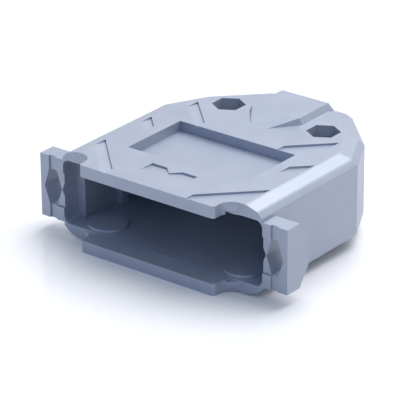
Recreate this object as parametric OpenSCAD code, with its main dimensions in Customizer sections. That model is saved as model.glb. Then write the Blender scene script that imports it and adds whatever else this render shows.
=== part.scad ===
// Two-shell cable hood for a 25-way D-sub connector.
// X runs across the connector, the mouth faces -Y, the cable leaves at +Y, Z is up.
// The origin is the middle of the footprint, at the height of the lowest point.
// Inside the modules the mouth plane is y = 0 and the shells part at z = 0.

/* [Connector interface] */
// Distance between the two jackscrew centres
jackscrew_pitch = 47.04; // [44:0.02:50]
// Clear width of the mouth, between the two ears
mouth_w = 42.2; // [40:0.1:43]
// Clear height of the mouth
mouth_h = 11.8; // [11.2:0.1:12.2]
// Depth of the full-width part of the mouth, behind the mouth plane
mouth_d = 3.7; // [2.5:0.1:5]
// Radius of the mouth's corners
mouth_corner_r = 1.3; // [0.6:0.1:2]
// Width of the front lip on each shell
lip_w = 28.4; // [24:0.1:32]
// How far the lips reach in front of the mouth plane
lip_l = 3.9; // [3:0.1:5]
// Clear height between the two lips
lip_gap = 11; // [10:0.1:11.6]
// Radius of the hollow blend from a lip's end to the mouth plane
lip_blend_r = 2.5; // [1.5:0.1:2.9]
// Rounding of the lips' front corners
lip_corner_r = 0.6; // [0.2:0.1:1]
// Width of the groove that takes the connector's flange
flange_groove_w = 1.2; // [0.8:0.1:1.6]
// Clear height of the flange groove, over both shells
flange_groove_h = 12.8; // [12.6:0.1:13.4]

/* [Ears] */
// Width of each ear, from the mouth to the outer side
ear_w = 5.06; // [4.6:0.02:5.6]
// Height of the ears over both shells
ear_h = 11.6; // [10.6:0.1:12]
// Depth of an ear at its middle
ear_d = 5.9; // [5:0.1:7]
// Depth of an ear at its top and bottom
ear_edge_d = 3.4; // [3:0.1:4.5]
// Height of the flat at the back of an ear
ear_back_h = 4.7; // [3:0.1:6]
// Height of the jackscrew slot
slot_h = 6.54; // [6:0.02:7.4]
// Width of the slot at its top and bottom
slot_end_w = 1.44; // [1:0.02:2]
// Width of the slot where the shells part
slot_mid_w = 3.6; // [3:0.1:4]
// Depth of the shallow steps on an ear's front
ear_step = 0.3; // [0.1:0.05:0.5]
// Depth of the notch where an ear's inner side parts
ear_notch = 0.5; // [0.2:0.1:0.6]

/* [Body] */
// Thickness of the body, over both shells
body_t = 16.12; // [15.6:0.02:17.6]
// Length from the mouth plane to the rear
body_l = 43.4; // [42:0.1:50]
// Width at the corner between the two rear tapers
waist_w = 34.2; // [32:0.1:37]
// Width of the flat rear end
rear_w = 16.8; // [14:0.1:20]
// Length of the first, steep taper
taper_l = 7.8; // [5:0.1:10]
// Rounding of the upright corners
corner_r = 1.2; // [0.4:0.1:2]
// Height of the shoulder between the sides and the flat faces
shoulder_h = 1.76; // [1.2:0.02:1.9]
// Width of that shoulder
shoulder_w = 3.2; // [2:0.1:4]
// Thickness of the side walls
side_wall = 1.65; // [1.2:0.05:2]
// Thickness of the rear wall
rear_wall = 2; // [1.4:0.1:3]

/* [Cable bay] */
// Diameter of the cable exit
exit_d = 11; // [8:0.1:11.4]
// Diameter of the round channel between the bosses
bay_d = 12.6; // [11.8:0.1:12.8]
// Height of the raised bay above the flat faces
bay_h = 1.09; // [0.6:0.01:1.6]
// Width of the raised bay's flat top
bay_top_w = 10; // [8:0.1:11]
// Spread of the raised bay's sides, from its top to its foot
bay_spread = 0.7; // [0.3:0.1:1]
// Width of the bow at the raised bay's front
bow_w = 3.7; // [2:0.1:6]
// Distance from the bow to the rear of the body
bow_setback = 16; // [14:0.1:18]
// Length of the ramp from the bow up to the flat top
bow_ramp = 4.8; // [3:0.1:6]

/* [Shell screws] */
// Distance between the two shell screws
boss_pitch = 20.4; // [20:0.1:21]
// Distance from the shell screws to the rear of the body
boss_setback = 11.2; // [10.8:0.1:12]
// Diameter of the screw bosses
boss_d = 7.5; // [7.2:0.1:7.8]
// Thickness of boss under each shell nut
nut_floor = 2.6; // [2:0.1:3.2]
// Depth of the pocket round each screw head
head_pocket = 3.5; // [2.5:0.1:4.5]
// Length of a shell screw under its head
shell_screw_l = 10; // [9.6:0.1:12]

/* [Fasteners] */
// Thread diameter of all screws
screw_d = 2.5; // [2:0.1:2.6]
// Diameter of the screw heads
head_d = 4.5; // [4:0.1:4.7]
// Height of the screw heads
head_h = 1.6; // [1.2:0.1:1.8]
// Width across the flats of the nuts
nut_af = 5; // [4.5:0.1:5]
// Thickness of the nuts
nut_t = 2; // [1.6:0.1:2.2]
// Clearance round screws in their holes, across the diameter
hole_play = 0.3; // [0.2:0.1:0.5]
// Clearance round nuts and heads in their pockets, across the width
pocket_play = 0.25; // [0.2:0.05:0.4]

/* [Cable clamp] */
// Width of the straps along the cable
strap_w = 5; // [5:0.1:5.4]
// Thickness of the straps
strap_t = 1; // [0.8:0.1:1.2]
// Gap between the two straps where they are screwed
strap_gap = 0.7; // [0.4:0.1:1]
// Distance between the clamp screws
clamp_pitch = 17.6; // [17.4:0.1:18]
// Strap beyond the centre of each clamp screw
strap_end = 3.1; // [3:0.1:3.4]
// Length of a clamp screw under its head
clamp_screw_l = 6; // [5.8:0.1:7]
// Clearance round the straps in their seat
seat_play = 0.1; // [0.05:0.05:0.2]
// Distance from the mouth plane to the seat's front rib
seat_y = 21.6; // [21.4:0.1:22.2]
// Thickness of the seat's ribs
rib_t = 1.5; // [1:0.1:1.6]

/* [Label and grips] */
// Width of the label recess
label_w = 24.6; // [20:0.1:26]
// Length of the label recess
label_l = 14.3; // [10:0.1:15]
// Distance from the mouth plane to the label recess
label_y = 6.8; // [6:0.1:7]
// Depth of the label recess
label_depth = 1.83; // [0.5:0.01:2]
// Wall left under the label recess
label_floor = 1.2; // [0.8:0.1:1.5]
// Distance along the body from one grip step to the next
grip_pitch = 12.5; // [11:0.1:13]
// Depth of the grip steps
grip_depth = 0.35; // [0.2:0.05:0.5]
// Length of the ramp in front of each grip step
grip_run = 2.1; // [1.5:0.1:2.5]
// Diameter of the round pads inside the mouth
pad_d = 7; // [5:0.1:7.4]
// Height of the round pads
pad_h = 0.45; // [0.2:0.05:0.6]

/* [Hidden] */

eps = 0.01;
past = 1;              // how far a cut runs past the face it opens
far = 60;              // longer than any piece
skin = 0.02;           // height of the slices that a hull joins

half_t = body_t / 2;
half_mouth_w = mouth_w / 2;
half_mouth_h = mouth_h / 2;
half_lip_gap = lip_gap / 2;
overall_w = mouth_w + 2 * ear_w;
rear_inside_y = body_l - rear_wall;
top_z = half_t + bay_h;
mid_y = (body_l - lip_l) / 2;

// Plan of the body: sides, steep taper, 45-degree taper, rear
waist_y = body_l - (waist_w - rear_w) / 2;
side_end_y = waist_y - taper_l;

// Shoulder: inset and height of each slice, a short 45-degree bevel, then a gentle slope
side_top_z = half_t - shoulder_h;
bevel = shoulder_h * 0.6;
ease = 0.12;
shoulder_slices = [
    [0, skin],
    [0, side_top_z - ease],
    [ease / 2, side_top_z + ease],
    [bevel - ease, side_top_z + bevel - ease],
    [bevel + ease, side_top_z + bevel + ease / 2],
    [shoulder_w - ease, half_t - ease / 2],
    [shoulder_w + 2 * ease, half_t]
];

// Places of the screws
boss_x = boss_pitch / 2;
boss_y = body_l - boss_setback;
clamp_x = clamp_pitch / 2;
head_seat_z = half_t - head_pocket;
screw_hole_d = screw_d + hole_play;

// Clamp straps: a half ring that fills the body's height, and a flat foot on each side
strap_y = seat_y + rib_t + seat_play;
strap_mid_y = strap_y + strap_w / 2;
strap_outer_r = half_mouth_h - seat_play;
strap_inner_r = strap_outer_r - strap_t;
strap_half_l = clamp_x + strap_end;
foot_z = strap_gap / 2;
seat_side_x = strap_half_l + seat_play;
seat_rear_y = strap_y + strap_w + seat_play;
cable_cut_r = strap_inner_r + 0.4;

// Grip steps: where each chevron's arm starts and ends across the body
flat_half_w = half_mouth_w - shoulder_w;
grip_tip_y = 2.1;
grip_outer_x = flat_half_w - 0.45;
grip_inner_x = 8.5;
grip_label_x = label_w / 2 + 2.1;
grip_rear_x = waist_w / 2 - shoulder_w + 1.3;
grip_arms = [
    [-1, grip_inner_x, grip_outer_x],
    [0, grip_label_x, grip_outer_x],
    [1, grip_inner_x, grip_rear_x]
];
grip_bar_y = 4.05;
grip_bar_half_w = 4.75;
grip_bar_run = 3.4;
grip_vee = 1.65;

// Ribs on the side walls, behind the mouth
side_rib_y = 11.9;
side_rib_t = 1.5;

// Pads inside the mouth
pad_x = 14.6;
pad_y = 3.9;

shell_colour = [0.66, 0.69, 0.73];
metal_colour = "silver";

// Moves a piece from the mouth and parting planes to the part's own frame
module in_frame() {
    translate([0, -mid_y, top_z]) children();
}

// The same thing on both sides of the middle
module both_sides() {
    for (side = [0, 1]) mirror([side, 0, 0]) children();
}

// Extrudes a drawing of X and Z along Y, from y0 to y1
module along_y(y0, y1) {
    translate([0, y1, 0]) rotate([90, 0, 0]) linear_extrude(y1 - y0) children();
}

// Extrudes a drawing of Y and Z along X, from x0 to x1
module along_x(x0, x1) {
    translate([x0, 0, 0]) rotate([90, 0, 90]) linear_extrude(x1 - x0) children();
}

// ---- One half shell: everything above the parting plane ----

// Plan of the body. It runs on past the mouth, so an inset moves only the sides and the rear.
module plan(inset = 0) {
    run_on = 2 * lip_l;
    offset(r = corner_r, $fn = 32)
        offset(delta = -corner_r - inset)
            polygon([
                [-half_mouth_w, -run_on], [half_mouth_w, -run_on],
                [half_mouth_w, side_end_y], [waist_w / 2, waist_y], [rear_w / 2, body_l],
                [-rear_w / 2, body_l], [-waist_w / 2, waist_y], [-half_mouth_w, side_end_y]
            ]);
}

module body_form() {
    intersection() {
        hull() {
            for (slice = shoulder_slices) {
                translate([0, 0, slice[1] - skin]) linear_extrude(skin) plan(slice[0]);
            }
        }
        translate([-far / 2, 0, -past]) cube([far, body_l + past, far]);
    }
}

// Raised cable bay: a flat top, spread sides and a bow-shaped ramp in front
module bay_form() {
    foot = bay_top_w / 2 + bay_spread;
    bow_y = body_l - bow_setback;
    top_rear_y = body_l - shoulder_w + bay_spread;
    hull() {
        translate([0, 0, half_t - skin]) linear_extrude(skin)
            polygon([
                [-bow_w / 2, bow_y], [bow_w / 2, bow_y],
                [foot, bow_y + bow_ramp], [foot, top_rear_y],
                [-foot, top_rear_y], [-foot, bow_y + bow_ramp]
            ]);
        translate([0, 0, top_z - skin]) linear_extrude(skin)
            translate([-bay_top_w / 2, bow_y + bow_ramp])
                square([bay_top_w, top_rear_y - bow_y - bow_ramp]);
        translate([-foot, rear_inside_y, side_top_z])
            cube([2 * foot, rear_wall - bay_spread / 2, skin]);
    }
}

module lip_form() {
    translate([0, 0, half_lip_gap]) linear_extrude(half_t - half_lip_gap)
        difference() {
            union() {
                offset(r = lip_corner_r, $fn = 32) offset(delta = -lip_corner_r)
                    translate([-lip_w / 2, -lip_l]) square([lip_w, lip_l + mouth_d]);
                translate([-lip_w / 2 - lip_blend_r, -lip_blend_r])
                    square([lip_w + 2 * lip_blend_r, lip_blend_r + past]);
            }
            both_sides() translate([lip_w / 2 + lip_blend_r, -lip_blend_r]) circle(lip_blend_r, $fn = 64);
        }
}

module ear_form() {
    root = 1;
    along_x(half_mouth_w - root, half_mouth_w + ear_w)
        polygon([
            [0, 0], [ear_d, 0], [ear_d, ear_back_h / 2],
            [ear_edge_d, ear_h / 2], [0, ear_h / 2]
        ]);
}

// Slot for the jackscrew, with the shallow steps on the ear's front
module ear_cuts() {
    centre = jackscrew_pitch / 2;
    slot_half_h = slot_h / 2;
    notch_h = 1.3;
    along_y(-past, ear_d + past)
        translate([centre, 0])
            polygon([
                [-slot_mid_w / 2, 0], [slot_mid_w / 2, 0],
                [slot_end_w / 2, slot_half_h], [-slot_end_w / 2, slot_half_h]
            ]);
    // shallow channel over the ear's full height
    along_y(-past, ear_step)
        translate([centre - slot_end_w / 2, -past]) square([slot_end_w, ear_h]);
    // lowered strip between the slot and the mouth
    along_y(-past, ear_step)
        translate([half_mouth_w - past, -past]) square([centre - half_mouth_w + past, slot_half_h + past]);
    // notch where the inner side parts
    along_y(-past, mouth_d)
        polygon([
            [half_mouth_w - eps, -eps], [half_mouth_w + ear_notch, -eps], [half_mouth_w - eps, notch_h]
        ]);
}

module cavity() {
    // full-width mouth with rounded corners
    along_y(-lip_l - past, mouth_d)
        intersection() {
            translate([-half_mouth_w, -half_mouth_h]) offset(r = mouth_corner_r, $fn = 32)
                offset(delta = -mouth_corner_r) square([mouth_w, mouth_h]);
            translate([-far / 2, 0]) square([far, half_mouth_h]);
        }
    // room behind it
    intersection() {
        translate([0, 0, -past]) linear_extrude(half_mouth_h + past) plan(side_wall);
        translate([-far / 2, mouth_d - eps, -past]) cube([far, rear_inside_y - mouth_d + eps, far]);
    }
    // round channel that reaches into the raised bay
    translate([0, rear_inside_y, 0]) rotate([90, 0, 0])
        cylinder(d = bay_d, h = rear_inside_y - seat_rear_y, $fn = 96);
}

// Ribs that trap the clamp straps, with a round cut for the cable
module clamp_seat() {
    wall = rib_t;
    difference() {
        translate([-seat_side_x - wall, seat_y, 0])
            cube([2 * (seat_side_x + wall), seat_rear_y + wall - seat_y, half_mouth_h + eps]);
        translate([-seat_side_x, strap_y - seat_play, -past])
            cube([2 * seat_side_x, seat_rear_y - strap_y + seat_play, far]);
        translate([0, seat_rear_y + wall + past, 0]) rotate([90, 0, 0])
            cylinder(r = cable_cut_r, h = seat_rear_y + wall - seat_y + 2 * past, $fn = 96);
    }
}

module inner_features() {
    clamp_seat();
    both_sides() {
        // boss for the shell screw
        translate([boss_x, boss_y, 0]) cylinder(d = boss_d, h = half_mouth_h + eps, $fn = 64);
        // web from the clamp seat to the boss
        translate([boss_x - rib_t / 2, seat_rear_y, 0])
            cube([rib_t, boss_y - seat_rear_y, half_mouth_h + eps]);
        // rib on the side wall
        translate([half_mouth_w - side_wall - side_rib_t, side_rib_y, 0])
            cube([side_rib_t + eps, side_rib_t, half_mouth_h + eps]);
        // round pad inside the mouth
        translate([pad_x, pad_y, half_mouth_h - pad_h]) cylinder(d = pad_d, h = pad_h + eps, $fn = 64);
    }
}

// One arm of a chevron: an upright step with a ramp that runs out in front of it
module grip_arm(row, x0, x1) {
    intersection() {
        translate([0, grip_tip_y + row * grip_pitch, half_t])
            rotate([0, 0, 45])
                along_x(0, far)
                    polygon([[0, past], [0, -grip_depth], [-grip_run, 0], [-grip_run, past]]);
        translate([x0, -far / 2, half_t - past]) cube([x1 - x0, 2 * far, 2 * past]);
    }
}

// Short straight step in front of the label, with a small vee in its middle
module grip_bar() {
    difference() {
        along_x(-grip_bar_half_w, grip_bar_half_w)
            polygon([
                [grip_bar_y, half_t + past], [grip_bar_y, half_t - grip_depth],
                [grip_bar_y - grip_bar_run, half_t], [grip_bar_y - grip_bar_run, half_t + past]
            ]);
        translate([0, 0, half_t - past]) linear_extrude(2 * past + eps)
            polygon([
                [-grip_vee, grip_bar_y + eps], [grip_vee, grip_bar_y + eps], [0, grip_bar_y - grip_vee]
            ]);
    }
}

module half_shell() {
    difference() {
        union() {
            difference() {
                union() {
                    body_form();
                    bay_form();
                    lip_form();
                    both_sides() ear_form();
                }
                cavity();
            }
            inner_features();
        }
        both_sides() ear_cuts();
        both_sides() for (arm = grip_arms) grip_arm(arm[0], arm[1], arm[2]);
        // groove for the connector's flange
        translate([-far / 2, -flange_groove_w, -past])
            cube([far, flange_groove_w, flange_groove_h / 2 + past]);
        // half of the cable exit
        translate([0, body_l + past, 0]) rotate([90, 0, 0])
            cylinder(d = exit_d, h = rear_wall + 2 * past, $fn = 96);
        // holes for the shell screws
        both_sides() translate([boss_x, boss_y, -past])
            cylinder(d = screw_hole_d, h = far, $fn = 48);
        // nothing of this half below the parting plane
        translate([-far, -far, -far]) cube([2 * far, 3 * far, far]);
    }
}

// ---- Sub-parts ----

module upper_shell() {
    label_z = half_t - label_depth;
    color(shell_colour) in_frame() difference() {
        union() {
            half_shell();
            // thicker wall inside, under the label recess
            translate([-label_w / 2 - label_floor, label_y - label_floor, label_z - label_floor])
                cube([
                    label_w + 2 * label_floor, label_l + 2 * label_floor,
                    half_mouth_h - label_z + label_floor + eps
                ]);
        }
        translate([-label_w / 2, label_y, label_z]) cube([label_w, label_l, label_depth + past]);
        grip_bar();
        // pockets for the shell nuts
        both_sides() translate([boss_x, boss_y, nut_floor]) rotate([0, 0, 30])
            cylinder(d = (nut_af + pocket_play) / cos(30), h = far, $fn = 6);
    }
}

module lower_shell() {
    color(shell_colour) in_frame() mirror([0, 0, 1]) difference() {
        half_shell();
        // pockets for the screw heads
        both_sides() translate([boss_x, boss_y, head_seat_z])
            cylinder(d = head_d + 2 * pocket_play, h = far, $fn = 48);
    }
}

// Pan-head screw with a cross recess. Its head sits under z = 0 and its shank points up.
module pan_screw(length) {
    cross_w = head_d * 0.16;
    cross_l = head_d * 0.55;
    cross_depth = head_h * 0.6;
    crown = head_h * 0.3;
    difference() {
        union() {
            rotate_extrude($fn = 48)
                polygon([
                    [0, 0], [head_d / 2, 0], [head_d / 2, crown - head_h],
                    [head_d / 2 - crown, -head_h], [0, -head_h]
                ]);
            cylinder(d = screw_d, h = length, $fn = 48);
        }
        for (turn = [0, 90]) rotate([0, 0, turn])
            translate([-cross_l / 2, -cross_w / 2, -head_h - past])
                cube([cross_l, cross_w, cross_depth + past]);
    }
}

// Hexagonal nut that stands on z = 0
module hex_nut(turn) {
    thread_play = 0.04;
    difference() {
        rotate([0, 0, turn]) cylinder(d = nut_af / cos(30), h = nut_t, $fn = 6);
        translate([0, 0, -past]) cylinder(d = screw_d + thread_play, h = nut_t + 2 * past, $fn = 48);
    }
}

module shell_screw(side) {
    color(metal_colour) in_frame()
        translate([side * boss_x, boss_y, -head_seat_z]) pan_screw(shell_screw_l);
}

module shell_nut(side) {
    color(metal_colour) in_frame()
        translate([side * boss_x, boss_y, nut_floor]) hex_nut(30);
}

// Half of the clamp: a half ring over the cable, with a drilled foot on each side
module strap() {
    difference() {
        along_y(strap_y, strap_y + strap_w)
            difference() {
                union() {
                    circle(strap_outer_r, $fn = 96);
                    translate([-strap_half_l, foot_z]) square([2 * strap_half_l, strap_t]);
                }
                circle(strap_inner_r, $fn = 96);
                translate([-far / 2, foot_z - far]) square([far, far]);
            }
        both_sides() translate([clamp_x, strap_mid_y, -past])
            cylinder(d = screw_hole_d, h = 2 * past + foot_z + strap_t, $fn = 48);
    }
}

module cable_clamp_upper() {
    color(metal_colour) in_frame() strap();
}

module cable_clamp_lower() {
    color(metal_colour) in_frame() mirror([0, 0, 1]) strap();
}

module clamp_screw(side) {
    color(metal_colour) in_frame()
        translate([side * clamp_x, strap_mid_y, -foot_z - strap_t]) pan_screw(clamp_screw_l);
}

module clamp_nut(side) {
    color(metal_colour) in_frame()
        translate([side * clamp_x, strap_mid_y, foot_z + strap_t]) hex_nut(0);
}

upper_shell();
lower_shell();
shell_screw(-1);  // left_shell_screw
shell_screw(1);  // right_shell_screw
shell_nut(-1);  // left_shell_nut
shell_nut(1);  // right_shell_nut
cable_clamp_upper();
cable_clamp_lower();
clamp_screw(-1);  // left_clamp_screw
clamp_screw(1);  // right_clamp_screw
clamp_nut(-1);  // left_clamp_nut
clamp_nut(1);  // right_clamp_nut
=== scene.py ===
"""Looks of a two-shell cable hood for a 25-way D-sub connector, on a pale studio floor."""
import math

import bpy
from mathutils import Matrix, Vector


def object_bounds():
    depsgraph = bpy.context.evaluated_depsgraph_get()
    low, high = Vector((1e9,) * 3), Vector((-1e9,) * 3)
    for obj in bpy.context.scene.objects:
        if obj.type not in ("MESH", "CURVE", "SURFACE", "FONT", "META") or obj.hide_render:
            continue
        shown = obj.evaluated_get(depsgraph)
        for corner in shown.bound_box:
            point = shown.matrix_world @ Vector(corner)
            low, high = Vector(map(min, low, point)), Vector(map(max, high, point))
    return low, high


MM = 0.001

# Camera: a long lens, so the hood is seen nearly without perspective
AZIMUTH = math.radians(38.01)
ELEVATION = math.radians(24.44)
ROLL = math.radians(0.42)
DISTANCE = 0.48065
LENS = 252.5
SENSOR = 36.0
FRAMING_RIGHT = -5.53 * MM
FRAMING_UP = -2.85 * MM

# The hood rests on the front edge of the lower lip and on the raised bay under the rear
LIP_FRONT = Vector((0, -23.65, 1.09)) * MM
BAY_FRONT = Vector((0, 12.45, 0.0)) * MM

# Coat of the shells: its two shades, and the sizes of its flakes, clouds and orange peel
SHELL_DARK = (0.27, 0.31, 0.40, 1)
SHELL_LIGHT = (0.34, 0.38, 0.47, 1)
FLAKE = 0.12 * MM
CLOUD = 6 * MM
PEEL = 0.25 * MM
EDGE_ROUND = 0.2 * MM


def add_node(tree, kind, **values):
    """A shader node with its properties and, by socket name, its inputs set."""
    node = tree.nodes.new(kind)
    for name, value in values.items():
        if hasattr(node, name):
            setattr(node, name, value)
        else:
            node.inputs[name.replace("_", " ")].default_value = value
    return node


def new_material(name):
    material = bpy.data.materials.new(name)
    material.use_nodes = True
    tree = material.node_tree
    return material, tree, tree.nodes["Principled BSDF"]


def shell_material():
    """Satin blue-grey metallised plastic: a fine flake in the coat and a slight orange peel."""
    material, tree, shader = new_material("metallised_plastic")
    place = add_node(tree, "ShaderNodeTexCoord")
    flake = add_node(tree, "ShaderNodeTexVoronoi", Scale=1 / FLAKE)
    cloud = add_node(tree, "ShaderNodeTexNoise", Scale=1 / CLOUD, Detail=3.0)
    tree.links.new(place.outputs["Object"], flake.inputs["Vector"])
    tree.links.new(place.outputs["Object"], cloud.inputs["Vector"])

    coat = add_node(tree, "ShaderNodeMix", data_type="RGBA")
    coat.inputs["A"].default_value = SHELL_DARK
    coat.inputs["B"].default_value = SHELL_LIGHT
    blend = add_node(tree, "ShaderNodeMath", operation="MULTIPLY_ADD")
    blend.inputs[1].default_value = 0.25
    tree.links.new(flake.outputs["Color"], blend.inputs[0])
    tree.links.new(cloud.outputs["Fac"], blend.inputs[2])
    tree.links.new(blend.outputs["Value"], coat.inputs["Factor"])
    tree.links.new(coat.outputs["Result"], shader.inputs["Base Color"])

    rough = add_node(tree, "ShaderNodeMapRange")
    rough.inputs["To Min"].default_value = 0.34
    rough.inputs["To Max"].default_value = 0.44
    tree.links.new(cloud.outputs["Fac"], rough.inputs["Value"])
    tree.links.new(rough.outputs["Result"], shader.inputs["Roughness"])

    peel = add_node(tree, "ShaderNodeTexNoise", Scale=1 / PEEL, Detail=2.0)
    tree.links.new(place.outputs["Object"], peel.inputs["Vector"])
    bump = add_node(tree, "ShaderNodeBump", Strength=0.25, Distance=0.02 * MM)
    tree.links.new(peel.outputs["Fac"], bump.inputs["Height"])
    tree.links.new(bump.outputs["Normal"], shader.inputs["Normal"])
    shader.inputs["Metallic"].default_value = 0.25
    shader.inputs["IOR"].default_value = 1.7
    return material


def steel_material():
    material, tree, shader = new_material("zinc_steel")
    shader.inputs["Base Color"].default_value = (0.6, 0.6, 0.62, 1)
    shader.inputs["Metallic"].default_value = 1.0
    shader.inputs["Roughness"].default_value = 0.3
    return material


def floor_material():
    material, tree, shader = new_material("pale_floor")
    shader.inputs["Base Color"].default_value = (0.86, 0.86, 0.87, 1)
    shader.inputs["Roughness"].default_value = 0.16
    shader.inputs["IOR"].default_value = 1.5
    return material


def round_edges(node):
    """Small roundings on a shell's edges, as a mould leaves them."""
    weld = node.modifiers.new("weld", "WELD")
    weld.merge_threshold = 0.001 * MM
    flat = node.modifiers.new("flat", "DECIMATE")
    flat.decimate_type = "DISSOLVE"
    flat.angle_limit = math.radians(1)
    bevel = node.modifiers.new("rounding", "BEVEL")
    bevel.width = EDGE_ROUND
    bevel.segments = 2
    bevel.limit_method = "ANGLE"
    bevel.angle_limit = math.radians(25)
    bevel.use_clamp_overlap = True


def dress(frame):
    shell = shell_material()
    steel = steel_material()
    for name, node in frame["nodes"].items():
        node.data.materials.clear()
        is_shell = name.endswith("_shell")
        node.data.materials.append(shell if is_shell else steel)
        if is_shell:
            round_edges(node)


def add_floor():
    along = (BAY_FRONT - LIP_FRONT).normalized()
    side = Vector((1, 0, 0))
    normal = side.cross(along)
    mesh = bpy.data.meshes.new("floor")
    half = 3.0
    corners = [LIP_FRONT + side * x * half + along * y * half for x, y in ((-1, -1), (1, -1), (1, 1), (-1, 1))]
    mesh.from_pydata(corners, [], [(0, 1, 2, 3)])
    floor = bpy.data.objects.new("floor", mesh)
    bpy.context.scene.collection.objects.link(floor)
    mesh.materials.append(floor_material())
    return normal


def view_axes():
    """The camera's right, up and backward directions."""
    back = Vector((
        math.sin(AZIMUTH) * math.cos(ELEVATION),
        -math.cos(AZIMUTH) * math.cos(ELEVATION),
        math.sin(ELEVATION),
    ))
    right = Vector((math.cos(AZIMUTH), math.sin(AZIMUTH), 0))
    up = back.cross(right)
    c, s = math.cos(ROLL), math.sin(ROLL)
    return c * right - s * up, s * right + c * up, back


def add_camera(centre):
    right, up, back = view_axes()
    data = bpy.data.cameras.new("camera")
    data.lens = LENS
    data.sensor_width = SENSOR
    data.clip_start = 0.01
    data.clip_end = 20
    camera = bpy.data.objects.new("camera", data)
    bpy.context.scene.collection.objects.link(camera)
    place = centre + right * FRAMING_RIGHT + up * FRAMING_UP + back * DISTANCE
    turn = Matrix((right, up, back)).transposed().to_4x4()
    camera.matrix_world = Matrix.Translation(place) @ turn
    bpy.context.scene.camera = camera


def add_light(name, direction, distance, size, power, colour=(1, 1, 1)):
    data = bpy.data.lights.new(name, "AREA")
    data.shape = "RECTANGLE"
    data.size, data.size_y = size
    data.energy = power
    data.color = colour
    light = bpy.data.objects.new(name, data)
    bpy.context.scene.collection.objects.link(light)
    direction = Vector(direction).normalized()
    light.location = direction * distance
    light.rotation_mode = "QUATERNION"
    light.rotation_quaternion = direction.to_track_quat("Z", "Y")


def add_lights():
    """A white studio that is dimmer and bluer on the mouth's side, and one softbox overhead."""
    scene = bpy.context.scene
    scene.view_settings.view_transform = "Standard"
    world = bpy.data.worlds.new("studio")
    scene.world = world
    world.use_nodes = True
    tree = world.node_tree
    place = add_node(tree, "ShaderNodeTexCoord")
    split = add_node(tree, "ShaderNodeSeparateXYZ")
    tree.links.new(place.outputs["Generated"], split.inputs["Vector"])
    ramp = add_node(tree, "ShaderNodeMapRange", interpolation_type="SMOOTHSTEP")
    ramp.inputs["From Min"].default_value = -0.9
    ramp.inputs["From Max"].default_value = 0.3
    tree.links.new(split.outputs["Y"], ramp.inputs["Value"])
    mix = add_node(tree, "ShaderNodeMix", data_type="RGBA")
    mix.inputs["A"].default_value = (0.45, 0.58, 0.85, 1)
    mix.inputs["B"].default_value = (1, 1, 1, 1)
    tree.links.new(ramp.outputs["Result"], mix.inputs["Factor"])
    background = tree.nodes["Background"]
    tree.links.new(mix.outputs["Result"], background.inputs["Color"])
    background.inputs["Strength"].default_value = 0.8
    add_light("top_softbox", (0, 0.5, 1), 0.7, (0.6, 0.6), 5)


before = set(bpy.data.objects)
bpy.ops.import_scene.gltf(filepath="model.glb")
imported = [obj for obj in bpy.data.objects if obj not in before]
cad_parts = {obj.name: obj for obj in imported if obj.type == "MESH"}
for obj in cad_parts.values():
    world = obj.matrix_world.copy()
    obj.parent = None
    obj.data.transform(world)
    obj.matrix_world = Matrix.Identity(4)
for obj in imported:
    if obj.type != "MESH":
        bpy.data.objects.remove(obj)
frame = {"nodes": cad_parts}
cad_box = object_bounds()
dress(frame)
add_floor()
add_camera((cad_box[0] + cad_box[1]) / 2)
add_lights()
